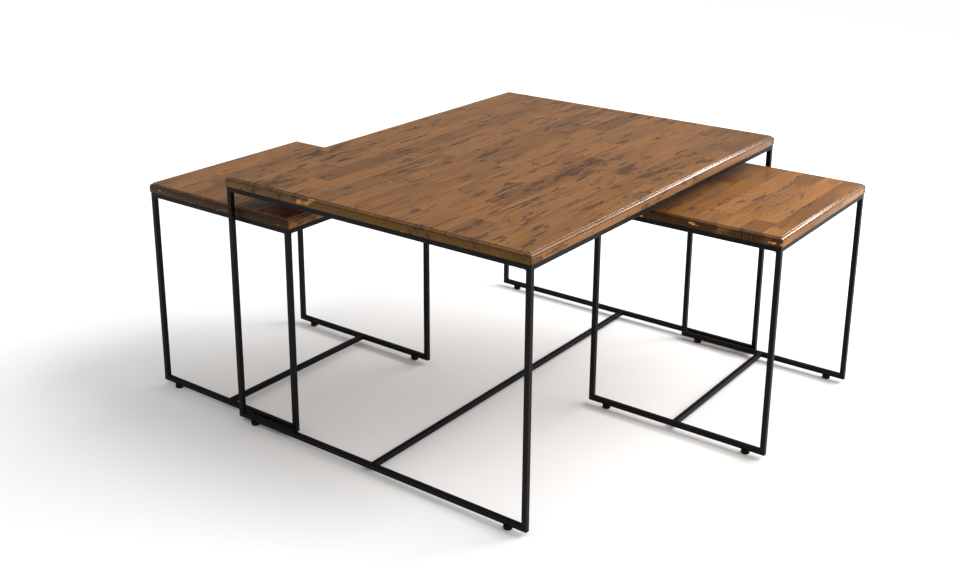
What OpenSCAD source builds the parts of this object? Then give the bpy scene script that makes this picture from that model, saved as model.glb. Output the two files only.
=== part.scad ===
// Three nesting tables: a large low table and two equal small ones that slide in under it.
// Each is a thick edge-glued wooden top on a light welded frame of square steel tube.
// X runs across the open sides, Y along the staves of the tops, Z up.
// The origin is the middle of the large table, on the floor.

/* [Large table] */
// Width of the large table's frame, between its two open sides
main_w = 690; // [480:5:900]
// Length of the large table's frame, along the staves of its top
main_l = 915; // [600:5:1200]
// Height of the large table's frame, from the underside of its floor rails to its ring's top
main_h = 478; // [380:1:650]

/* [Small tables] */
// Width of each small table's frame, between its two open sides
small_w = 385; // [240:5:440]
// Free height between a small table's top and the large table's ring
nest_height_gap = 34; // [6:1:80]
// Free space between a small table's end and the inside of the large table's end
nest_end_gap = 9; // [5:0.5:20]
// Free space between the two small tables, where they stand side by side
nest_middle_gap = 47; // [5:1:120]

/* [Arrangement] */
// How far the left small table stands out past the large table's side
left_pull = 247; // [60:1:430]
// How far the right small table stands out past the large table's side
right_pull = 211; // [60:1:430]

/* [Wooden tops] */
// Thickness of each wooden top
top_t = 19; // [14:0.5:30]
// How far a top stands out past its frame, on every side
top_overhang = 1.2; // [0.2:0.1:6]
// Depth of the moulding cut round a top's upper edge
moulding_h = 6; // [4:0.5:9]
// Width of the narrow ledge between the upright face and the moulding's round
moulding_ledge = 0.8; // [0.4:0.1:2]
// Radius of the small round where the moulding meets the flat top
moulding_bead = 1.2; // [0.6:0.1:1.6]
// Height of the small upright step under that bead
moulding_step = 0.8; // [0.3:0.1:1.5]

/* [Steel frames] */
// Outer size of the square tube
tube = 10; // [8:0.5:16]
// Wall of the square tube
tube_wall = 1.2; // [0.8:0.1:2]
// Radius of the tube's outer corners
tube_r = 1; // [0.4:0.1:2]
// Leg length of each weld bead
weld = 3; // [1.5:0.5:5]

/* [Feet] */
// Diameter of each floor glide
foot_d = 16.5; // [12:0.5:30]
// Height of each floor glide under its rail
foot_h = 8; // [5:0.5:15]
// Radius of a glide's lower edge
foot_edge_r = 2; // [0.5:0.5:4]
// Distance from a rail's end to the middle of its glide
foot_inset = 40; // [12:1:90]
// Diameter of the glide's stem in its rail
stem_d = 6; // [3:0.5:7]
// How far the stem reaches up inside the tube, past its wall
stem_reach = 4.5; // [2:0.5:5]

/* [Top fixings] */
// Length of each mounting tab, inwards from the ring
tab_l = 20; // [16:1:40]
// Width of each mounting tab
tab_w = 18; // [12:1:30]
// Thickness of each mounting tab
tab_t = 3; // [2:0.5:5]
// Number of tabs along each side of the large table
main_tabs = 3; // [2:1:6]
// Number of tabs along each side of a small table
small_tabs = 2; // [2:1:4]
// Diameter of a screw's shank
screw_d = 4; // [3:0.5:5]
// Diameter of a screw's head
screw_head_d = 8; // [6:0.5:10]
// Height of a screw's head
screw_head_h = 2.6; // [1.5:0.1:4]
// How far a screw reaches up into the wood
screw_bite = 10; // [6:0.5:12]
// Space round a stem or shank in its hole
fit_gap = 0.05; // [0.02:0.01:0.2]
// Extra radius of the hole that a screw passes through in its tab
screw_hole_gap = 0.5; // [0.2:0.1:1]

/* [Hidden] */
TABLES = ["main_table", "left_table", "right_table"];
ENDS = [["near", -1], ["far", 1]];
SIDES = [["left", -1], ["right", 1]];

$fn = 48;
STEEL = "#1d1d20";
PLASTIC = "#111111";
WOOD = "#8a5a34";
WARM_WOOD = "#a9713f";
ZINC = "#a8a9a6";
CUT = 1; // how far a cutter runs past the face that it cuts

// The small tables stand side by side along the large one's length and fit between its ends.
small_l = (main_l - 2 * tube - 2 * nest_end_gap - nest_middle_gap) / 2;
small_h = main_h - tube - nest_height_gap - top_t;

function is_main(t) = t == "main_table";
function frame_w(t) = is_main(t) ? main_w : small_w;
function frame_l(t) = is_main(t) ? main_l : small_l;
function frame_h(t) = is_main(t) ? main_h : small_h;
function tab_count(t) = is_main(t) ? main_tabs : small_tabs;
function small_x(pull) = main_w / 2 + pull - small_w / 2;
small_y = (small_l + nest_middle_gap) / 2;

// Middle of each table on the floor: the left one stands in the near half, the right in the far half.
function table_place(t) =
    is_main(t) ? [0, 0, 0] :
    t == "left_table" ? [-small_x(left_pull), -small_y, 0] :
    [small_x(right_pull), small_y, 0];

// Middles of the tubes, from the middle of their own table.
function tube_x(t, side) = side * (frame_w(t) - tube) / 2;
function tube_y(t, end) = end * (frame_l(t) - tube) / 2;
function floor_z() = foot_h + tube / 2;
function ring_top(t) = foot_h + frame_h(t);
function ring_z(t) = ring_top(t) - tube / 2;

// Middles of a table's mounting screws, evenly spaced along both sides.
function screw_places(t) = [
    for (s = SIDES, i = [1 : tab_count(t)])
        [s[1], frame_l(t) * (i / (tab_count(t) + 1) - 0.5)],
];
function screw_x(t, side) = side * (frame_w(t) / 2 - tube - tab_l + tab_w / 2);

module at_table(t) {
    translate(table_place(t)) children();
}

// ---- Wooden top ----

// Cross-section of a top: upright face, ledge, quarter round, small step, bead and flat.
module top_section(width) {
    round_r = moulding_h - moulding_bead - moulding_step;
    face_h = top_t - moulding_h;
    half_round = width / 2 - moulding_ledge - round_r;
    half_flat = half_round - moulding_bead;
    translate([-width / 2, 0]) square([width, face_h]);
    translate([-half_round, 0]) square([2 * half_round, top_t - moulding_bead]);
    translate([-half_flat, 0]) square([2 * half_flat, top_t]);
    for (side = [-1, 1]) {
        translate([side * half_round, face_h]) circle(round_r);
        translate([side * half_flat, top_t - moulding_bead]) circle(moulding_bead);
    }
}

module top_blank(across, along) {
    intersection() {
        rotate([90, 0, 0]) linear_extrude(along, center = true) top_section(across);
        rotate([90, 0, 90]) linear_extrude(across, center = true) top_section(along);
    }
}

module wooden_top(t) {
    color(t == "right_table" ? WARM_WOOD : WOOD)
        at_table(t) translate([0, 0, ring_top(t)]) difference() {
            top_blank(frame_w(t) + 2 * top_overhang, frame_l(t) + 2 * top_overhang);
            for (p = screw_places(t))
                translate([screw_x(t, p[0]), p[1], -CUT])
                    cylinder(d = screw_d + 2 * fit_gap, h = screw_bite + fit_gap + CUT);
        }
}

// ---- Steel frame ----

module tube_section() {
    difference() {
        union() {
            square([tube, tube - 2 * tube_r], center = true);
            square([tube - 2 * tube_r, tube], center = true);
            for (x = [-1, 1], y = [-1, 1])
                translate([x, y] * (tube / 2 - tube_r)) circle(tube_r);
        }
        square(tube - 2 * tube_wall, center = true);
    }
}

// A tube centred on the origin; turn lays it along another axis.
module square_tube(length, turn = [0, 0, 0]) {
    rotate(turn) linear_extrude(length, center = true) tube_section();
}

// Keeps what lies within an outline that is drawn across the width and up the height.
module mitred(outline) {
    intersection() {
        children();
        rotate([90, 0, 0]) linear_extrude(2 * tube, center = true) polygon(outline);
    }
}

module ring_end_rail(t, end) {
    half = frame_w(t) / 2;
    outline = [
        [-half, ring_top(t)],
        [half, ring_top(t)],
        [half - tube, ring_top(t) - tube],
        [tube - half, ring_top(t) - tube],
    ];
    color(STEEL) at_table(t) translate([0, tube_y(t, end), 0]) mitred(outline)
        translate([0, 0, ring_z(t)]) square_tube(2 * half, [0, 90, 0]);
}

module ring_side_rail(t, side) {
    color(STEEL) at_table(t) translate([tube_x(t, side), 0, ring_z(t)])
        square_tube(frame_l(t) - 2 * tube, [90, 0, 0]);
}

module leg(t, end, side) {
    half = frame_w(t) / 2;
    outline = [
        [side * half, foot_h],
        [side * half, ring_top(t)],
        [side * (half - tube), ring_top(t) - tube],
        [side * (half - tube), foot_h + tube],
    ];
    color(STEEL) at_table(t) translate([0, tube_y(t, end), 0]) mitred(outline)
        translate([tube_x(t, side), 0, foot_h + frame_h(t) / 2]) square_tube(frame_h(t));
}

module floor_rail(t, end) {
    half = frame_w(t) / 2;
    outline = [
        [-half, foot_h],
        [half, foot_h],
        [half - tube, foot_h + tube],
        [tube - half, foot_h + tube],
    ];
    color(STEEL) at_table(t) translate([0, tube_y(t, end), 0]) difference() {
        mitred(outline) translate([0, 0, floor_z()]) square_tube(2 * half, [0, 90, 0]);
        for (side = [-1, 1])
            translate([side * (half - foot_inset), 0, foot_h - CUT])
                cylinder(d = stem_d + 2 * fit_gap, h = tube_wall + 2 * CUT);
    }
}

module floor_stretcher(t) {
    color(STEEL) at_table(t) translate([0, 0, floor_z()])
        square_tube(frame_l(t) - 2 * tube, [90, 0, 0]);
}

// A three-sided bead that lies in the corner of the first two axes.
module weld_bead(turn, mirror_x, mirror_y) {
    rotate(turn) linear_extrude(tube - 2 * tube_r, center = true)
        polygon([[0, 0], [mirror_x * weld, 0], [0, mirror_y * weld]]);
}

module weld_beads(t) {
    half_w = frame_w(t) / 2 - tube;
    half_l = frame_l(t) / 2 - tube;
    ring_under = ring_top(t) - tube;
    color(STEEL) at_table(t) for (end = [-1, 1], side = [-1, 1]) {
        translate([side * half_w, tube_y(t, end), ring_under]) weld_bead([90, 0, 0], -side, -1);
        translate([side * half_w, tube_y(t, end), foot_h + tube]) weld_bead([90, 0, 0], -side, 1);
        translate([side * half_w, end * half_l, ring_z(t)]) weld_bead([0, 0, 0], -side, -end);
        translate([tube_x(t, side), end * half_l, ring_under]) weld_bead([90, 0, 90], -end, -1);
        translate([side * tube / 2, end * half_l, floor_z()]) weld_bead([0, 0, 0], side, -end);
    }
}

// ---- Feet ----

module foot_section() {
    body_r = foot_d / 2;
    stem_r = stem_d / 2;
    stem_top = foot_h + tube_wall + stem_reach;
    translate([0, foot_edge_r]) square([body_r, foot_h - foot_edge_r]);
    square([body_r - foot_edge_r, foot_h]);
    translate([body_r - foot_edge_r, foot_edge_r]) circle(foot_edge_r);
    translate([0, foot_h - CUT]) square([stem_r - fit_gap, stem_top - foot_h]);
    // The stem swells behind the tube's wall, which holds it in.
    polygon([
        [0, foot_h + tube_wall + fit_gap],
        [stem_r + 3 * fit_gap, foot_h + tube_wall + fit_gap],
        [stem_r - 3 * fit_gap, stem_top],
        [0, stem_top],
    ]);
}

module foot(t, end, side) {
    color(PLASTIC) at_table(t)
        translate([side * (frame_w(t) / 2 - foot_inset), tube_y(t, end), 0])
            rotate_extrude() foot_section();
}

// ---- Top fixings ----

module mounting_tabs(t) {
    color(STEEL) at_table(t) for (p = screw_places(t))
        translate([screw_x(t, p[0]), p[1], ring_top(t) - tab_t]) linear_extrude(tab_t)
            difference() {
                union() {
                    circle(d = tab_w);
                    translate([p[0] * (tab_l - tab_w / 2) / 2, 0])
                        square([tab_l - tab_w / 2, tab_w], center = true);
                }
                circle(d = screw_d + 2 * screw_hole_gap);
            }
}

module screw_section() {
    head_r = screw_head_d / 2;
    shank_r = screw_d / 2;
    tip_z = tab_t + screw_bite;
    polygon([
        [0, -screw_head_h],
        [head_r * 0.7, -screw_head_h],
        [head_r, -screw_head_h * 0.4],
        [head_r, 0],
        [shank_r, 0],
        [shank_r, tip_z - screw_d],
        [0, tip_z],
    ]);
}

module top_screws(t) {
    slot = screw_d / 4;
    color(ZINC) at_table(t) for (p = screw_places(t))
        translate([screw_x(t, p[0]), p[1], ring_top(t) - tab_t]) difference() {
            rotate_extrude() screw_section();
            for (turn = [0, 90])
                rotate(turn) translate([-screw_d / 2, -slot / 2, -screw_head_h - CUT])
                    cube([screw_d, slot, screw_head_h * 0.6 + CUT]);
        }
}

// ---- Assembly ----

module piece(name) {
    children();
}

for (t = TABLES) {
    piece(str(t, "_top")) wooden_top(t);
    for (e = ENDS) piece(str(t, "_ring_rail_", e[0])) ring_end_rail(t, e[1]);
    for (s = SIDES) piece(str(t, "_ring_rail_", s[0])) ring_side_rail(t, s[1]);
    for (e = ENDS, s = SIDES) piece(str(t, "_leg_", e[0], "_", s[0])) leg(t, e[1], s[1]);
    for (e = ENDS) piece(str(t, "_floor_rail_", e[0])) floor_rail(t, e[1]);
    piece(str(t, "_floor_stretcher")) floor_stretcher(t);
    for (e = ENDS, s = SIDES) piece(str(t, "_foot_", e[0], "_", s[0])) foot(t, e[1], s[1]);
    piece(str(t, "_mounting_tabs")) mounting_tabs(t);
    piece(str(t, "_top_screws")) top_screws(t);
    piece(str(t, "_weld_beads")) weld_beads(t);
}
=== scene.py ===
import math

import bpy
from mathutils import Matrix, Vector


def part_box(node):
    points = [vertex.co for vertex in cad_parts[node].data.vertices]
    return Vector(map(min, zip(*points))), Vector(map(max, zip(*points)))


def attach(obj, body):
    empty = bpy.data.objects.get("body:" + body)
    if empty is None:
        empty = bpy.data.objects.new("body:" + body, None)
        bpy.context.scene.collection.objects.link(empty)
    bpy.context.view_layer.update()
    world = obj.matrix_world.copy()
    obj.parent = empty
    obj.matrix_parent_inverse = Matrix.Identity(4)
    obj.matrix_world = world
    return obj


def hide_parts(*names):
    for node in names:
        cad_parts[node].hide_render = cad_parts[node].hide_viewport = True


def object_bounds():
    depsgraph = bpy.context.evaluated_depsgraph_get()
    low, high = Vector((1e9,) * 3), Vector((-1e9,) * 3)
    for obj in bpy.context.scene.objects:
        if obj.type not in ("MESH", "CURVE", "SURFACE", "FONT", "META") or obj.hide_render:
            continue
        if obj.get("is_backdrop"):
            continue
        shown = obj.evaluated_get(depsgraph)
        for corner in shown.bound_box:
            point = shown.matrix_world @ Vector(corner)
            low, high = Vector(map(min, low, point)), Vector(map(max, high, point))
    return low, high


bl_info = {
    "name": "Nesting tables",
    "version": (1, 0, 0),
    "blender": (4, 5, 0),
    "location": "3D View > Sidebar > Nesting tables",
    "description": "Wooden tops, steel frames, glides and studio for a set of three nesting tables",
    "category": "Object",
}

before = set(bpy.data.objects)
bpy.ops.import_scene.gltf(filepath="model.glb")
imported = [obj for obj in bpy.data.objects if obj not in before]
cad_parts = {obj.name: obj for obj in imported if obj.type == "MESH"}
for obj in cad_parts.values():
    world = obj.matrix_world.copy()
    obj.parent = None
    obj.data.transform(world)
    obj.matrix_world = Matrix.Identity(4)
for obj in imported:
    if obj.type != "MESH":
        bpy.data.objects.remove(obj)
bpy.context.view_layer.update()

TABLES = ["main_table", "left_table", "right_table"]
BOTH_WAYS = (-1, 1)

# Wood: sizes in metres, and how fast the cross-cut saw marks turn, in radians a metre
RING_SPACING = 0.0062
SAW_MARK_RATE = 1650.0
EASED_ARRIS = 0.0003

# Stains: factors on a top's light or dark colour, channel by channel
GOLDEN = (1.16, 1.10, 0.92)
SMOKED = (0.72, 0.78, 0.95)
REDDISH = (0.66, 0.52, 0.42)
RUBBED = (1.2, 1.2, 1.2)
OLIVE = (1.05, 1.05, 0.40)
BARE_WOOD = (2.1, 1.9, 1.5)

# Dirt that the stain leaves in joints, sawn patches and checks, and painted shade in the moulding's
# grooves
JOINT_DIRT = (0.05, 0.03, 0.02)
PATCH_DIRT = (0.018, 0.013, 0.013)
CHECK_DIRT = (0.03, 0.019, 0.015)
# Painted shade: the dark colour of the lines in the moulding's grooves and steps
GROOVE_PAINTED_SHADE = (0.035, 0.022, 0.016)

# Weld beads: share of the tube's width that one spans, its rings, and how wide the rings swell
BEAD_SPAN = 0.84
BEAD_RIPPLES = 8
BEAD_ENDS = 0.55
BEAD_CREST = 1.06
BEAD_VALLEY = 0.93

# Studio
FLOOR_SPAN = 60
CAMERA_SHIFT = -0.1
SUN_ENERGY = 2.0
SUN_ANGLE = math.radians(40)
SUN_DIRECTION = (-0.62, -0.42, -0.66)
SOFT_BOXES = [
    {"name": "moulding_softbox", "place": (1.5, 2.9, 2.0), "target": (0.2, 0, 0.4),
     "size": (2.8, 0.5), "power": 85},
    {"name": "overhead_softbox", "place": (0.2, 0.4, 3.2), "target": (0, 0, 0.3),
     "size": (3.0, 2.4), "power": 14},
]
AIR_SEEN = 1.0
AIR_LIGHT = 0.70
AIR_REFLECTED = 0.20


# ---- Sizes read from the frame ----

def table_box(table):
    """Lowest and highest corners of a table's steel frame, feet left out."""
    low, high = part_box(f"{table}_leg_near_left")[0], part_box(f"{table}_leg_far_right")[1]
    return Vector(low), Vector(high)


def tube_size():
    low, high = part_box("main_table_floor_stretcher")
    return high[0] - low[0]


# ---- Settings ----

class NestingTablesSettings(bpy.types.PropertyGroup):
    """Sizes and colours that a user of the tables would change."""

    moulding_ledge: bpy.props.FloatProperty(
        name="Moulding ledge", description="Width of the ledge under the moulding's round",
        default=0.0008, unit="LENGTH")
    moulding_round: bpy.props.FloatProperty(
        name="Moulding round", description="Radius of the moulding's large round",
        default=0.004, unit="LENGTH")
    moulding_step: bpy.props.FloatProperty(
        name="Moulding step", description="Height of the small upright step under the bead",
        default=0.0008, unit="LENGTH")
    moulding_bead: bpy.props.FloatProperty(
        name="Moulding bead", description="Radius of the small round at the flat top's edge",
        default=0.0012, unit="LENGTH")
    stave_width: bpy.props.FloatProperty(
        name="Stave width", description="Width of one glued stave in the tops",
        default=0.043, unit="LENGTH")
    stave_length: bpy.props.FloatProperty(
        name="Stave length", description="Usual length of one stave, end joint to end joint",
        default=0.36, unit="LENGTH")
    weld_radius: bpy.props.FloatProperty(
        name="Weld radius", description="Radius of a weld bead's cross-section",
        default=0.0022, unit="LENGTH")
    brown_light: bpy.props.FloatVectorProperty(
        name="Brown stain, light", description="Lightest staves of the brown tops",
        default=(0.250, 0.114, 0.041), subtype="COLOR")
    brown_dark: bpy.props.FloatVectorProperty(
        name="Brown stain, dark", description="Darkest staves of the brown tops",
        default=(0.168, 0.078, 0.030), subtype="COLOR")
    warm_light: bpy.props.FloatVectorProperty(
        name="Warm stain, light", description="Lightest staves of the right table's top",
        default=(0.335, 0.145, 0.043), subtype="COLOR")
    warm_dark: bpy.props.FloatVectorProperty(
        name="Warm stain, dark", description="Darkest staves of the right table's top",
        default=(0.205, 0.087, 0.027), subtype="COLOR")
    steel_color: bpy.props.FloatVectorProperty(
        name="Powder coat", description="Colour of the frames' powder coat",
        default=(0.0032, 0.0032, 0.0040), subtype="COLOR")
    glide_color: bpy.props.FloatVectorProperty(
        name="Glides", description="Colour of the plastic floor glides",
        default=(0.005, 0.005, 0.005), subtype="COLOR")
    zinc_color: bpy.props.FloatVectorProperty(
        name="Screws", description="Colour of the zinc-plated screws",
        default=(0.56, 0.56, 0.53), subtype="COLOR")
    floor_color: bpy.props.FloatVectorProperty(
        name="Floor", description="Colour of the studio floor",
        default=(0.90, 0.90, 0.895), subtype="COLOR")
    view_azimuth: bpy.props.FloatProperty(
        name="View azimuth", description="Direction that the camera looks from",
        default=math.radians(36.38), subtype="ANGLE")
    view_pitch: bpy.props.FloatProperty(
        name="View pitch", description="How far the camera looks down",
        default=math.radians(17.29), subtype="ANGLE")
    view_roll: bpy.props.FloatProperty(
        name="View roll", description="How far the camera leans to one side",
        default=math.radians(0.37), subtype="ANGLE")
    view_aim: bpy.props.FloatVectorProperty(
        name="View aim", description="Point that the camera looks at, from the set's middle",
        default=(-0.0767, 0.004, 0.1574), subtype="TRANSLATION", unit="LENGTH")
    view_distance: bpy.props.FloatProperty(
        name="View distance", description="Distance from the camera to the point it looks at",
        default=2.541, unit="LENGTH")
    view_lens: bpy.props.FloatProperty(
        name="Lens", description="Focal length in millimetres on a 36 mm wide sensor",
        default=46.16)


# ---- Node building ----

class Graph:
    """Adds nodes to one node tree and wires them as they are made."""

    def __init__(self, tree):
        self.tree = tree
        self.count = 0

    def add(self, kind, settings=None, **inputs):
        made = self.tree.nodes.new(kind)
        made.location = (220 * (self.count % 8), -260 * (self.count // 8))
        self.count += 1
        for name, value in (settings or {}).items():
            setattr(made, name, value)
        for name, value in inputs.items():
            self.put(made.inputs[name.replace("_", " ")], value)
        return made

    def put(self, socket, value):
        if isinstance(value, bpy.types.NodeSocket):
            self.tree.links.new(value, socket)
        else:
            socket.default_value = value

    def math(self, operation, *values, clamp=False):
        made = self.add("ShaderNodeMath", {"operation": operation, "use_clamp": clamp})
        for socket, value in zip(made.inputs, values):
            self.put(socket, value)
        return made.outputs[0]

    def vector(self, operation, *values):
        made = self.add("ShaderNodeVectorMath", {"operation": operation})
        for socket, value in zip(made.inputs, values):
            self.put(socket, value)
        return made.outputs[0]

    def split(self, vector):
        return self.add("ShaderNodeSeparateXYZ", Vector=vector).outputs

    def join(self, x, y, z):
        return self.add("ShaderNodeCombineXYZ", X=x, Y=y, Z=z).outputs[0]

    def noise(self, vector, scale, detail=2.0, roughness=0.5):
        """Noise whose scale differs along the three axes."""
        stretched = self.vector("MULTIPLY", vector, scale)
        made = self.add("ShaderNodeTexNoise", Vector=stretched, Scale=1.0, Detail=detail,
                        Roughness=roughness)
        return made.outputs["Fac"]

    def ramp(self, value, low, high, to_low=0.0, to_high=1.0):
        """Smooth step from to_low at low to to_high at high."""
        made = self.add("ShaderNodeMapRange", {"interpolation_type": "SMOOTHSTEP"}, Value=value,
                        From_Min=low, From_Max=high, To_Min=to_low, To_Max=to_high)
        return made.outputs[0]

    def mix(self, factor, first, second, blend="MIX"):
        made = self.add("ShaderNodeMix", {"data_type": "RGBA", "blend_type": blend})
        self.put(made.inputs[0], factor)
        self.put(made.inputs[6], first)
        self.put(made.inputs[7], second)
        return made.outputs[2]

    def group(self, group, **inputs):
        made = self.add("ShaderNodeGroup", {"node_tree": group}, **inputs)
        return made.outputs


def rgba(color):
    return (*color, 1.0)


def tinted(color, factors):
    """A colour with each channel scaled by its own factor, as RGBA."""
    return rgba([channel * factor for channel, factor in zip(color, factors)])


def new_group(name, inputs, outputs):
    """An empty shader node group; inputs and outputs are name to socket kind."""
    tree = bpy.data.node_groups.new(name, "ShaderNodeTree")
    for label, kind in inputs.items():
        tree.interface.new_socket(name=label, in_out="INPUT", socket_type=f"NodeSocket{kind}")
    for label, kind in outputs.items():
        tree.interface.new_socket(name=label, in_out="OUTPUT", socket_type=f"NodeSocket{kind}")
    graph = Graph(tree)
    source = graph.add("NodeGroupInput").outputs
    sink = graph.add("NodeGroupOutput").inputs
    return graph, source, sink


def stave_layout_group():
    """Splits a top into staves: a shade for each, its joints, and its own grain coordinates."""
    graph, given, out = new_group(
        "Stave layout",
        {"Vector": "Vector", "Stave Width": "Float", "Stave Length": "Float"},
        {"Shade": "Float", "Joint": "Float", "Grain Vector": "Vector"})
    x, y, z = graph.split(given["Vector"])
    across = graph.math("DIVIDE", x, given["Stave Width"])
    column = graph.math("FLOOR", across)
    shift = graph.add("ShaderNodeTexWhiteNoise", {"noise_dimensions": "1D"},
                      W=column).outputs["Value"]
    along = graph.math("MULTIPLY_ADD", shift, 7.3, graph.math("DIVIDE", y, given["Stave Length"]))
    row = graph.math("FLOOR", along)
    own = graph.add("ShaderNodeTexWhiteNoise", {"noise_dimensions": "2D"},
                    Vector=graph.join(column, row, 0.0)).outputs
    graph.put(out["Shade"], own["Value"])

    in_column = graph.math("SUBTRACT", across, column)
    in_row = graph.math("SUBTRACT", along, row)
    side_gap = graph.math("MULTIPLY", graph.math("PINGPONG", in_column, 0.5), given["Stave Width"])
    end_gap = graph.math("MULTIPLY", graph.math("PINGPONG", in_row, 0.5), given["Stave Length"])
    gap = graph.math("MINIMUM", side_gap, end_gap)
    graph.put(out["Joint"], graph.ramp(gap, 0.0002, 0.0009, 1.0, 0.0))

    random_x, random_y, random_z = graph.split(own["Color"])
    from_middle = graph.math("MULTIPLY", graph.math("SUBTRACT", in_column, 0.5),
                             given["Stave Width"])
    pith_x = graph.math("MULTIPLY_ADD", graph.math("SUBTRACT", random_x, 0.5), 0.07, from_middle)
    pith_z = graph.math("MULTIPLY_ADD", graph.math("SUBTRACT", random_z, 0.5), 0.09,
                        graph.math("SUBTRACT", z, 0.46))
    far_y = graph.math("MULTIPLY_ADD", random_y, 23.0, y)
    graph.put(out["Grain Vector"], graph.join(pith_x, far_y, pith_z))
    return graph.tree


def pine_grain_group():
    """Growth rings round each stave's pith, and fine fibres along it."""
    graph, given, out = new_group(
        "Pine grain", {"Vector": "Vector", "Ring Spacing": "Float"},
        {"Rings": "Float", "Fibres": "Float"})
    vector = given["Vector"]
    x, _, z = graph.split(vector)
    radius = graph.math("SQRT", graph.math("MULTIPLY_ADD", x, x, graph.math("MULTIPLY", z, z)))
    wander = graph.noise(vector, (14.0, 3.2, 14.0), 3.0)
    bent = graph.math("MULTIPLY_ADD", wander, 0.03, radius)
    phase = graph.math("FRACT", graph.math("DIVIDE", bent, given["Ring Spacing"]))
    late = graph.ramp(phase, 0.35, 0.9)
    fade = graph.ramp(phase, 0.92, 1.0, 1.0, 0.0)
    graph.put(out["Rings"], graph.math("MULTIPLY", late, fade))
    graph.put(out["Fibres"], graph.noise(vector, (900.0, 14.0, 900.0), 3.0, 0.6))
    return graph.tree


def distress_group():
    """Rough-sawn patches with cross-cut saw marks, and thin dark checks along the grain."""
    graph, given, out = new_group(
        "Distress", {"Vector": "Vector", "Place": "Vector", "Amount": "Float"},
        {"Patches": "Float", "Checks": "Float"})
    vector = given["Vector"]
    drift = graph.noise(given["Place"], (5.0, 4.0, 5.0), 2.0)
    patch = graph.noise(vector, (54.0, 13.0, 54.0), 4.0, 0.66)
    raised = graph.math("MULTIPLY_ADD", graph.math("SUBTRACT", drift, 0.5), 0.34, patch)
    lifted = graph.math("ADD", raised, given["Amount"])
    area = graph.ramp(lifted, 0.600, 0.628)
    _, y, _ = graph.split(vector)
    sway = graph.noise(vector, (60.0, 25.0, 60.0), 1.0)
    turns = graph.math("MULTIPLY_ADD", sway, 9.0, graph.math("MULTIPLY", y, SAW_MARK_RATE))
    marks = graph.ramp(graph.math("SINE", turns), -0.4, 0.5, 0.40, 1.0)
    grit = graph.ramp(graph.noise(vector, (420.0, 60.0, 420.0), 2.0), 0.36, 0.58, 0.55, 1.0)
    graph.put(out["Patches"], graph.math("MULTIPLY", area, graph.math("MULTIPLY", marks, grit)))
    line = graph.noise(vector, (210.0, 7.0, 210.0), 2.0, 0.55)
    where = graph.noise(given["Place"], (17.0, 9.0, 17.0), 2.0)
    thin = graph.math("MULTIPLY", graph.ramp(line, 0.61, 0.66), graph.ramp(where, 0.45, 0.56))
    graph.put(out["Checks"], thin)
    return graph.tree


def top_edge_group():
    """Masks for a top's rim, its lacquered rounds, the painted shade lines in their grooves, and
    the end-grain faces.
    """
    graph, given, out = new_group(
        "Top edge", {"Vector": "Vector", "Centre": "Vector", "Half Size": "Vector",
                     "Moulding Width": "Float", "Ledge Depth": "Float", "Step Depth": "Float"},
        {"Moulding": "Float", "Rounds": "Float", "End Grain": "Float", "Groove Shade": "Float"})
    offset = graph.vector("ABSOLUTE", graph.vector("SUBTRACT", given["Vector"], given["Centre"]))
    inside = graph.vector("SUBTRACT", given["Half Size"], offset)
    x, y, _ = graph.split(inside)
    _, _, top_z = graph.split(graph.vector("ADD", given["Centre"], given["Half Size"]))
    depth = graph.math("SUBTRACT", top_z, graph.split(given["Vector"])[2])
    # Painted shade: a mask for dark lines at the depths of the moulding's ledge and step, where
    # shade falls
    from_ledge = graph.math("ABSOLUTE", graph.math("SUBTRACT", depth, given["Ledge Depth"]))
    from_step = graph.math("ABSOLUTE", graph.math("SUBTRACT", depth, given["Step Depth"]))
    groove = graph.math("MINIMUM", from_ledge, from_step)
    graph.put(out["Groove Shade"], graph.ramp(groove, 0.0002, 0.0008, 1.0, 0.0))
    nearest = graph.math("MINIMUM", x, y)
    width = given["Moulding Width"]
    rim = graph.ramp(nearest, graph.math("MULTIPLY", width, 1.15),
                     graph.math("MULTIPLY", width, 0.85))
    graph.put(out["Moulding"], rim)
    above = graph.ramp(depth, graph.math("MULTIPLY", given["Ledge Depth"], 0.97),
                       graph.math("MULTIPLY", given["Ledge Depth"], 0.80))
    graph.put(out["Rounds"], graph.math("MULTIPLY", rim, above))
    graph.put(out["End Grain"], graph.ramp(y, graph.math("MULTIPLY", width, 1.1), 0.0))
    return graph.tree


def fine_texture_group():
    """Orange peel, faint mottling and dust for hard coated and moulded surfaces."""
    graph, given, out = new_group(
        "Fine texture", {"Vector": "Vector", "Grain Size": "Float", "Mottle": "Float"},
        {"Height": "Float", "Mottling": "Float", "Scuffs": "Float"})
    scale = graph.math("DIVIDE", 1.0, given["Grain Size"])
    peel = graph.add("ShaderNodeTexNoise", Vector=given["Vector"], Scale=scale, Detail=2.0)
    graph.put(out["Height"], peel.outputs["Fac"])
    cloud = graph.noise(given["Vector"], (38.0, 38.0, 38.0), 3.0)
    graph.put(out["Mottling"], graph.math("MULTIPLY", cloud, given["Mottle"]))
    scuff = graph.noise(given["Vector"], (70.0, 70.0, 140.0), 5.0, 0.7)
    graph.put(out["Scuffs"], graph.ramp(scuff, 0.62, 0.78))
    return graph.tree


def group(name, build):
    return bpy.data.node_groups.get(name) or build()


def new_material(name):
    """A material with one Principled shader; gives the graph, the shader and object coordinates."""
    material = bpy.data.materials.new(name)
    material.use_nodes = True
    graph = Graph(material.node_tree)
    shader = material.node_tree.nodes["Principled BSDF"]
    place = graph.add("ShaderNodeTexCoord").outputs["Object"]
    return material, graph, shader, place


def bump(graph, height, strength, distance, under=None):
    made = graph.add("ShaderNodeBump", Height=height, Strength=strength, Distance=distance)
    if under:
        graph.put(made.inputs["Normal"], under)
    return made.outputs[0]


# ---- Materials ----

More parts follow.
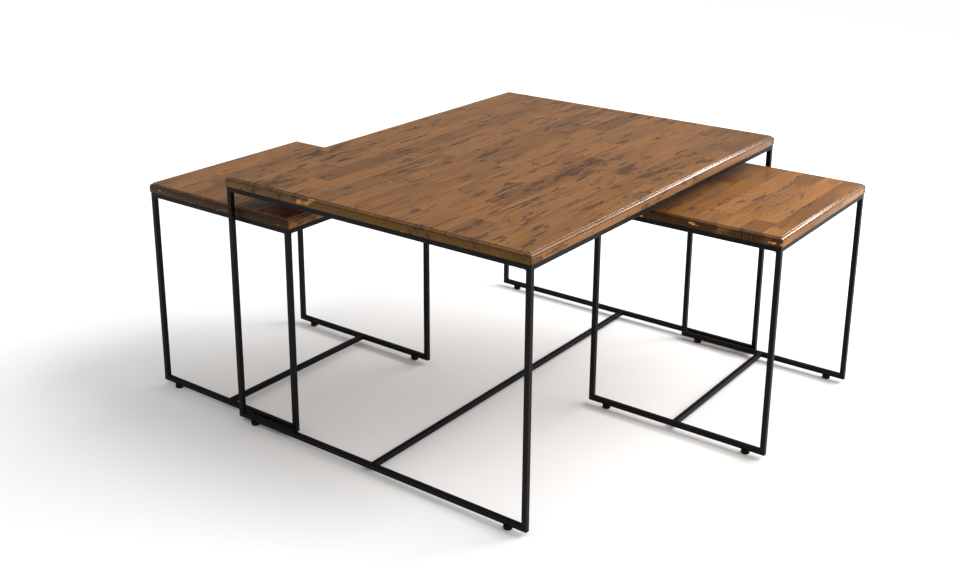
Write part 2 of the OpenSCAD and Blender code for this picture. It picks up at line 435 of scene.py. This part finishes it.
def stave_color(graph, stain, staves, grain, ends, cloud, smoke):
    """Stained staves: each with its own shade, with golden and smoked clouds, rings and fibres."""
    light, dark = stain["light"], stain["dark"]
    color = graph.mix(graph.ramp(staves["Shade"], 0.05, 0.75), rgba(dark), rgba(light))
    color = graph.mix(graph.ramp(cloud, 0.46, 0.74, 0.0, 0.75), color, tinted(light, GOLDEN))
    color = graph.mix(graph.ramp(smoke, 0.50, 0.70, 0.0, 0.50), color, tinted(dark, SMOKED))
    ring_depth = graph.math("MULTIPLY_ADD", ends, 0.22, 0.20)
    color = graph.mix(graph.math("MULTIPLY", grain["Rings"], ring_depth), color,
                      tinted(dark, REDDISH))
    fibre = graph.ramp(grain["Fibres"], 0.3, 0.7, 0.80, 1.16)
    return graph.mix(1.0, color, graph.join(fibre, fibre, fibre), "MULTIPLY")


def rim_color(graph, color, stain, edge, grain, cloud, place):
    """A rubbed moulding, and olive end grain with pale arcs and spots where the stain is gone."""
    light, dark, ends = stain["light"], stain["dark"], edge["End Grain"]
    rubbed = graph.math("MULTIPLY", edge["Moulding"], graph.ramp(cloud, 0.42, 0.6, 0.25, 0.75))
    color = graph.mix(rubbed, color, tinted(light, RUBBED))
    soaked = graph.math("MULTIPLY", ends, graph.ramp(cloud, 0.58, 0.74, 0.96, 0.60))
    color = graph.mix(soaked, color, tinted(dark, [k * stain["end_tone"] for k in OLIVE]))
    pale_arcs = graph.math("MULTIPLY", ends, graph.ramp(grain["Rings"], 0.05, 0.6, 0.10, 0.0))
    color = graph.mix(pale_arcs, color, rgba(light))
    bare = graph.ramp(graph.noise(place, (27.0, 27.0, 60.0), 2.0), 0.655, 0.69, 0.0, 0.9)
    return graph.mix(graph.math("MULTIPLY", bare, ends), color, tinted(light, BARE_WOOD))


def dirt_and_groove_shade_color(graph, color, staves, worn, edge, smoke):
    """Dirt in the joints, the sawn patches and the checks, and painted shade in the moulding's
    grooves.
    """
    joint = graph.math("MULTIPLY", staves["Joint"], graph.ramp(smoke, 0.42, 0.6, 0.12, 0.95))
    color = graph.mix(joint, color, rgba(JOINT_DIRT))
    fewer_on_ends = graph.math("MULTIPLY_ADD", edge["End Grain"], -0.2, 0.9)
    color = graph.mix(graph.math("MULTIPLY", worn["Patches"], fewer_on_ends), color,
                      rgba(PATCH_DIRT))
    color = graph.mix(graph.math("MULTIPLY", worn["Checks"], 0.85), color, rgba(CHECK_DIRT))
    # Painted shade: dark lines in the moulding's grooves and steps
    return graph.mix(graph.math("MULTIPLY", edge["Groove Shade"], 0.8), color, rgba(GROOVE_PAINTED_SHADE))


def stained_pine(name, stain, low, high, settings):
    """Glued pine staves, stained, distressed and lacquered, for the top between two corners."""
    material, graph, shader, place = new_material(name)
    staves = graph.group(group("Stave layout", stave_layout_group), Vector=place,
                         Stave_Width=settings.stave_width, Stave_Length=settings.stave_length)
    along = staves["Grain Vector"]
    grain = graph.group(group("Pine grain", pine_grain_group), Vector=along,
                        Ring_Spacing=RING_SPACING)
    worn = graph.group(group("Distress", distress_group), Vector=along, Place=place,
                       Amount=stain["distress"])
    edge = graph.group(group("Top edge", top_edge_group), Vector=place,
                       Centre=(low + high) / 2, Half_Size=(high - low) / 2,
                       Moulding_Width=moulding_width(settings),
                       Ledge_Depth=moulding_rise(settings),
                       Step_Depth=settings.moulding_bead + settings.moulding_step / 2)

    cloud = graph.noise(along, (15.0, 4.0, 15.0), 3.0)
    smoke = graph.noise(along, (22.0, 7.0, 22.0), 4.0, 0.6)
    color = stave_color(graph, stain, staves, grain, edge["End Grain"], cloud, smoke)
    color = rim_color(graph, color, stain, edge, grain, cloud, place)
    color = dirt_and_groove_shade_color(graph, color, staves, worn, edge, smoke)
    graph.put(shader.inputs["Base Color"], color)

    rough = graph.math("MULTIPLY_ADD", worn["Patches"], 0.16,
                       graph.ramp(grain["Fibres"], 0.25, 0.75, 0.32, 0.45))
    rough = graph.math("MULTIPLY_ADD", edge["Rounds"], -0.17, rough)
    graph.put(shader.inputs["Roughness"], rough)
    flat_coat = graph.math("MULTIPLY_ADD", edge["Moulding"], -0.30, 0.30)
    graph.put(shader.inputs["Coat Weight"],
              graph.math("MULTIPLY_ADD", edge["Rounds"], 0.85, flat_coat))
    shader.inputs["Specular IOR Level"].default_value = 0.10
    shader.inputs["Coat Roughness"].default_value = 0.16

    pits = graph.math("MAXIMUM", worn["Patches"], worn["Checks"])
    pits = graph.math("MAXIMUM", pits, graph.math("MULTIPLY", staves["Joint"], 0.7))
    relief = bump(graph, graph.math("SUBTRACT", 1.0, pits), 0.55, 0.0006)
    fine = graph.math("MULTIPLY_ADD", grain["Rings"], 0.5, grain["Fibres"])
    graph.put(shader.inputs["Normal"], bump(graph, fine, 0.25, 0.00025, relief))
    return material


def hard_finish(name, color, grain_size, roughness, metallic=0.0, relief=0.3, shine=0.10):
    """Powder coat, moulded plastic or plating: one colour with fine texture and scuffs."""
    material, graph, shader, place = new_material(name)
    fine = graph.group(group("Fine texture", fine_texture_group), Vector=place,
                       Grain_Size=grain_size, Mottle=0.5)
    lighter = [min(1.0, c * 1.7 + 0.0015) for c in color]
    graph.put(shader.inputs["Base Color"],
              graph.mix(fine["Mottling"], rgba(color), rgba(lighter)))
    varied = graph.math("MULTIPLY_ADD", fine["Mottling"], 0.18, roughness)
    graph.put(shader.inputs["Roughness"],
              graph.math("MULTIPLY_ADD", fine["Scuffs"], 0.12, varied))
    shader.inputs["Metallic"].default_value = metallic
    shader.inputs["Specular IOR Level"].default_value = shine
    graph.put(shader.inputs["Normal"], bump(graph, fine["Height"], relief, 0.00012))
    return material


def set_material(piece, material):
    piece.data.materials.clear()
    piece.data.materials.append(material)


def finish_nodes(nodes, material):
    for node in nodes:
        set_material(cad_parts[node], material)


# ---- Modelling by hand tools ----

def deselect_all():
    if bpy.context.object and bpy.context.object.mode != "OBJECT":
        bpy.ops.object.mode_set(mode="OBJECT")
    bpy.ops.object.select_all(action="DESELECT")


def settle(piece, name, material):
    """Names a finished piece, bakes its place into its mesh and gives it its material."""
    deselect_all()
    bpy.context.view_layer.objects.active = piece
    piece.select_set(True)
    bpy.ops.object.transform_apply(location=True, rotation=True, scale=True)
    piece.name = name
    piece.data.name = name
    set_material(piece, material)


def select_faces(piece, test):
    """In edit mode: leaves only the faces selected whose middle and normal pass the test."""
    bpy.ops.mesh.select_all(action="DESELECT")
    bpy.ops.object.mode_set(mode="OBJECT")
    for face in piece.data.polygons:
        face.select = test(face.center, face.normal)
    bpy.ops.object.mode_set(mode="EDIT")


def moulding_width(settings):
    return settings.moulding_ledge + settings.moulding_round + settings.moulding_bead


def moulding_rise(settings):
    return settings.moulding_round + settings.moulding_step + settings.moulding_bead


def quarter_round(radius, steps):
    """Inward and upward moves that follow a convex quarter round from its foot to its crown."""
    turns = [math.pi / 2 * i / steps for i in range(steps + 1)]
    return [
        (radius * (math.cos(a) - math.cos(b)), radius * (math.sin(b) - math.sin(a)))
        for a, b in zip(turns, turns[1:])
    ]


def model_top(low, high, settings):
    """A panel raised from a block by insets that follow the moulding, with its arrises eased."""
    size = high - low
    block = Vector((size.x, size.y, size.z - moulding_rise(settings)))
    deselect_all()
    bpy.ops.mesh.primitive_cube_add(size=1, location=low + block / 2)
    top = bpy.context.object
    top.scale = block
    bpy.ops.object.transform_apply(location=True, rotation=True, scale=True)
    bpy.ops.object.mode_set(mode="EDIT")
    bpy.ops.mesh.select_mode(type="FACE")
    select_faces(top, lambda middle, normal: normal.z > 0.9)
    bpy.ops.mesh.inset(thickness=settings.moulding_ledge, depth=0)
    for inward, upward in quarter_round(settings.moulding_round, 8):
        bpy.ops.mesh.inset(thickness=inward, depth=upward)
    bpy.ops.mesh.extrude_region_move(
        TRANSFORM_OT_translate={"value": (0, 0, settings.moulding_step)})
    for inward, upward in quarter_round(settings.moulding_bead, 5):
        bpy.ops.mesh.inset(thickness=inward, depth=upward)
    bpy.ops.object.mode_set(mode="OBJECT")
    easing = top.modifiers.new("Eased arrises", "BEVEL")
    easing.width = EASED_ARRIS
    easing.segments = 2
    easing.limit_method = "ANGLE"
    easing.angle_limit = math.radians(40)
    bpy.ops.object.modifier_apply(modifier=easing.name)
    bpy.ops.object.shade_smooth_by_angle(angle=math.radians(35))
    return top


def model_weld_bead(length, radius):
    """One bead along X: a rod cut into rings that swell and narrow as run-down weld ripples."""
    deselect_all()
    bpy.ops.mesh.primitive_cylinder_add(vertices=14, radius=radius, depth=length,
                                        rotation=(0, math.pi / 2, 0), location=(0, 0, 0))
    bead = bpy.context.object
    bpy.ops.object.transform_apply(location=True, rotation=True, scale=True)
    bpy.ops.object.mode_set(mode="EDIT")
    for i in range(1, BEAD_RIPPLES):
        x = length * (i / BEAD_RIPPLES - 0.5)
        bpy.ops.mesh.select_all(action="SELECT")
        bpy.ops.mesh.bisect(plane_co=(x, 0, 0), plane_no=(1, 0, 0))
    for i in range(BEAD_RIPPLES + 1):
        x = length * (i / BEAD_RIPPLES - 0.5)
        bpy.ops.mesh.select_mode(type="VERT")
        bpy.ops.mesh.select_all(action="DESELECT")
        bpy.ops.object.mode_set(mode="OBJECT")
        for vertex in bead.data.vertices:
            vertex.select = abs(vertex.co.x - x) < length / BEAD_RIPPLES / 4
        bpy.ops.object.mode_set(mode="EDIT")
        swell = BEAD_CREST if i % 2 else BEAD_VALLEY
        if i in (0, BEAD_RIPPLES):
            swell = BEAD_ENDS
        bpy.ops.transform.resize(value=(1, swell, swell), center_override=(x, 0, 0))
    bpy.ops.object.mode_set(mode="OBJECT")
    bpy.ops.object.shade_smooth_by_angle(angle=math.radians(60))
    return bead


def bead_places(table):
    """Middle and direction of each weld bead in a table's frame, in its inside corners."""
    low, high = table_box(table)
    tube = tube_size()
    middle = (low + high) / 2
    places = []
    for end in BOTH_WAYS:
        for side in BOTH_WAYS:
            leg_x = (high.x if side > 0 else low.x) - side * tube
            leg_y = (high.y if end > 0 else low.y) - end * tube
            tube_x = leg_x + side * tube / 2
            tube_y = leg_y + end * tube / 2
            ring_under = high.z - tube
            rail_top = low.z + tube
            places += [
                (Vector((leg_x, tube_y, ring_under)), "Y"),
                (Vector((leg_x, tube_y, rail_top)), "Y"),
                (Vector((leg_x, leg_y, high.z - tube / 2)), "Z"),
                (Vector((tube_x, leg_y, ring_under)), "X"),
                (Vector((middle.x + side * tube / 2, leg_y, low.z + tube / 2)), "Z"),
            ]
    return places


BEAD_TURNS = {
    "X": Matrix.Identity(4),
    "Y": Matrix.Rotation(math.pi / 2, 4, "Z"),
    "Z": Matrix.Rotation(math.pi / 2, 4, "Y"),
}


def copies_joined(original, places, name, material):
    """Copies a modelled piece to each place, each copy with its own mesh, and joins them."""
    deselect_all()
    for place, direction in places:
        copy = original.copy()
        copy.data = original.data.copy()
        copy.data.transform(Matrix.Translation(place) @ BEAD_TURNS[direction])
        bpy.context.scene.collection.objects.link(copy)
        copy.select_set(True)
        bpy.context.view_layer.objects.active = copy
    bpy.ops.object.join()
    joined = bpy.context.object
    settle(joined, name, material)
    return joined


# ---- Operators ----

class NESTING_OT_wooden_tops(bpy.types.Operator):
    """Models the three moulded wooden tops and gives them their stained pine"""

    bl_idname = "nesting.wooden_tops"
    bl_label = "Wooden tops"

    def execute(self, context):
        settings = context.scene.nesting_tables
        brown = {"light": settings.brown_light, "dark": settings.brown_dark}
        warm = {"light": settings.warm_light, "dark": settings.warm_dark}
        stains = {
            "main_table": {**brown, "distress": 0.02, "end_tone": 0.58},
            "left_table": {**brown, "distress": 0.01, "end_tone": 0.10},
            "right_table": {**warm, "distress": -0.01, "end_tone": 0.10},
        }
        for table in TABLES:
            node = f"{table}_top"
            low, high = (Vector(corner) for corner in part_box(node))
            pine = stained_pine(f"{table}_stained_pine", stains[table], low, high, settings)
            panel = model_top(low, high, settings)
            settle(panel, f"{table}_moulded_top", pine)
            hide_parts(node)
            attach(panel, table)
        return {"FINISHED"}


class NESTING_OT_steel_frames(bpy.types.Operator):
    """Powder coats the tubes of the frames and their mounting tabs"""

    bl_idname = "nesting.steel_frames"
    bl_label = "Steel frames"

    def execute(self, context):
        settings = context.scene.nesting_tables
        coat = hard_finish("black_powder_coat", settings.steel_color, 0.0011, 0.40)
        words = ("_rail_", "_leg_", "_stretcher", "_tabs")
        finish_nodes([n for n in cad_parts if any(w in n for w in words)], coat)
        return {"FINISHED"}


class NESTING_OT_weld_beads(bpy.types.Operator):
    """Models the rippled weld beads in the frames' inside corners"""

    bl_idname = "nesting.weld_beads"
    bl_label = "Weld beads"

    def execute(self, context):
        settings = context.scene.nesting_tables
        coat = bpy.data.materials["black_powder_coat"]
        bead = model_weld_bead(tube_size() * BEAD_SPAN, settings.weld_radius)
        for table in TABLES:
            beads = copies_joined(bead, bead_places(table), f"{table}_rippled_welds", coat)
            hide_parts(f"{table}_weld_beads")
            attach(beads, table)
        bpy.data.objects.remove(bead, do_unlink=True)
        return {"FINISHED"}


class NESTING_OT_floor_glides(bpy.types.Operator):
    """Gives the floor glides their moulded plastic"""

    bl_idname = "nesting.floor_glides"
    bl_label = "Floor glides"

    def execute(self, context):
        settings = context.scene.nesting_tables
        plastic = hard_finish("moulded_glide", settings.glide_color, 0.0007, 0.52)
        finish_nodes([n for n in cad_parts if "_foot_" in n], plastic)
        return {"FINISHED"}


class NESTING_OT_top_screws(bpy.types.Operator):
    """Gives the screws under the tops their zinc plating"""

    bl_idname = "nesting.top_screws"
    bl_label = "Top screws"

    def execute(self, context):
        settings = context.scene.nesting_tables
        zinc = hard_finish("zinc_plate", settings.zinc_color, 0.0006, 0.30, 1.0, 0.15, 0.5)
        finish_nodes([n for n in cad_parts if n.endswith("_screws")], zinc)
        return {"FINISHED"}


class NESTING_OT_stage(bpy.types.Operator):
    """Lays the floor, hangs the soft lights and sets up the camera"""

    bl_idname = "nesting.stage"
    bl_label = "Studio"

    def execute(self, context):
        settings = context.scene.nesting_tables
        lay_floor(settings)
        hang_lights()
        set_world()
        place_camera(settings)
        context.scene.view_settings.view_transform = "Standard"
        return {"FINISHED"}


# ---- Studio ----

def lay_floor(settings):
    deselect_all()
    bpy.ops.mesh.primitive_plane_add(size=FLOOR_SPAN, location=(0, 0, 0))
    floor = bpy.context.object
    material, graph, shader, place = new_material("studio_floor")
    tone = graph.noise(place, (0.7, 0.7, 0.7), 1.0)
    near = [c * 0.985 for c in settings.floor_color]
    graph.put(shader.inputs["Base Color"], graph.mix(tone, rgba(settings.floor_color), rgba(near)))
    shader.inputs["Roughness"].default_value = 0.9
    shader.inputs["Specular IOR Level"].default_value = 0.1
    settle(floor, "studio_floor", material)
    floor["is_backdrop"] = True


def soft_light(name, place, target, size, power):
    """A rectangular area light that faces its target."""
    bpy.ops.object.light_add(type="AREA", location=place)
    lamp = bpy.context.object
    lamp.name = name
    lamp.data.shape = "RECTANGLE"
    lamp.data.size, lamp.data.size_y = size
    lamp.data.energy = power
    toward = Vector(target) - Vector(place)
    lamp.rotation_euler = toward.to_track_quat("-Z", "Y").to_euler()


def hang_lights():
    """A broad low sun from the back right, and two soft boxes for the mouldings and the top."""
    deselect_all()
    bpy.ops.object.light_add(type="SUN", location=(4, 3, 3))
    sun = bpy.context.object
    sun.name = "broad_sun"
    sun.data.energy = SUN_ENERGY
    sun.data.angle = SUN_ANGLE
    sun.rotation_euler = Vector(SUN_DIRECTION).to_track_quat("-Z", "Y").to_euler()
    for box in SOFT_BOXES:
        soft_light(**box)


def set_world():
    """Even pale air: white where it is seen, dimmer as light, and dimmer still in reflections."""
    world = bpy.data.worlds.new("studio_air")
    bpy.context.scene.world = world
    world.use_nodes = True
    graph = Graph(world.node_tree)
    path = graph.add("ShaderNodeLightPath").outputs
    background = world.node_tree.nodes["Background"]
    background.inputs["Color"].default_value = (1.0, 1.0, 1.0, 1.0)
    lit = graph.math("MULTIPLY_ADD", path["Is Glossy Ray"], AIR_REFLECTED - AIR_LIGHT, AIR_LIGHT)
    seen = graph.math("MULTIPLY_ADD", path["Is Camera Ray"], AIR_SEEN - AIR_LIGHT, lit)
    graph.put(background.inputs["Strength"], seen)


def place_camera(settings):
    """Camera on the chosen line of sight, aimed just under the large top's middle."""
    low, high = (Vector(corner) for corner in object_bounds())
    azimuth, pitch = settings.view_azimuth, settings.view_pitch
    level = Vector((-math.sin(azimuth), math.cos(azimuth), 0))
    ahead = level * math.cos(pitch) - Vector((0, 0, math.sin(pitch)))
    data = bpy.data.cameras.new("studio_camera")
    data.sensor_width = 36.0
    data.lens = settings.view_lens
    data.shift_y = CAMERA_SHIFT
    camera = bpy.data.objects.new("studio_camera", data)
    bpy.context.scene.collection.objects.link(camera)
    aim = (low + high) / 2 + Vector(settings.view_aim)
    camera.location = aim - ahead * settings.view_distance
    camera.rotation_mode = "QUATERNION"
    lean = Matrix.Rotation(settings.view_roll, 4, "Z").to_quaternion()
    camera.rotation_quaternion = ahead.to_track_quat("-Z", "Y") @ lean
    bpy.context.scene.camera = camera


# ---- Panel and registration ----

OPERATORS = [
    NESTING_OT_wooden_tops,
    NESTING_OT_steel_frames,
    NESTING_OT_weld_beads,
    NESTING_OT_floor_glides,
    NESTING_OT_top_screws,
    NESTING_OT_stage,
]


class NESTING_PT_tables(bpy.types.Panel):
    """Lists the steps that make the nesting tables"""

    bl_label = "Nesting tables"
    bl_idname = "NESTING_PT_tables"
    bl_space_type = "VIEW_3D"
    bl_region_type = "UI"
    bl_category = "Nesting tables"

    def draw(self, context):
        settings = context.scene.nesting_tables
        for name in NestingTablesSettings.__annotations__:
            self.layout.prop(settings, name)
        for operator in OPERATORS:
            self.layout.operator(operator.bl_idname)


CLASSES = [NestingTablesSettings, *OPERATORS, NESTING_PT_tables]


def register():
    for cls in CLASSES:
        bpy.utils.register_class(cls)
    bpy.types.Scene.nesting_tables = bpy.props.PointerProperty(type=NestingTablesSettings)


def unregister():
    del bpy.types.Scene.nesting_tables
    for cls in reversed(CLASSES):
        bpy.utils.unregister_class(cls)


def main():
    register()
    bpy.ops.nesting.wooden_tops()
    bpy.ops.nesting.steel_frames()
    bpy.ops.nesting.weld_beads()
    bpy.ops.nesting.floor_glides()
    bpy.ops.nesting.top_screws()
    bpy.ops.nesting.stage()


if __name__ == "__main__":
    main()
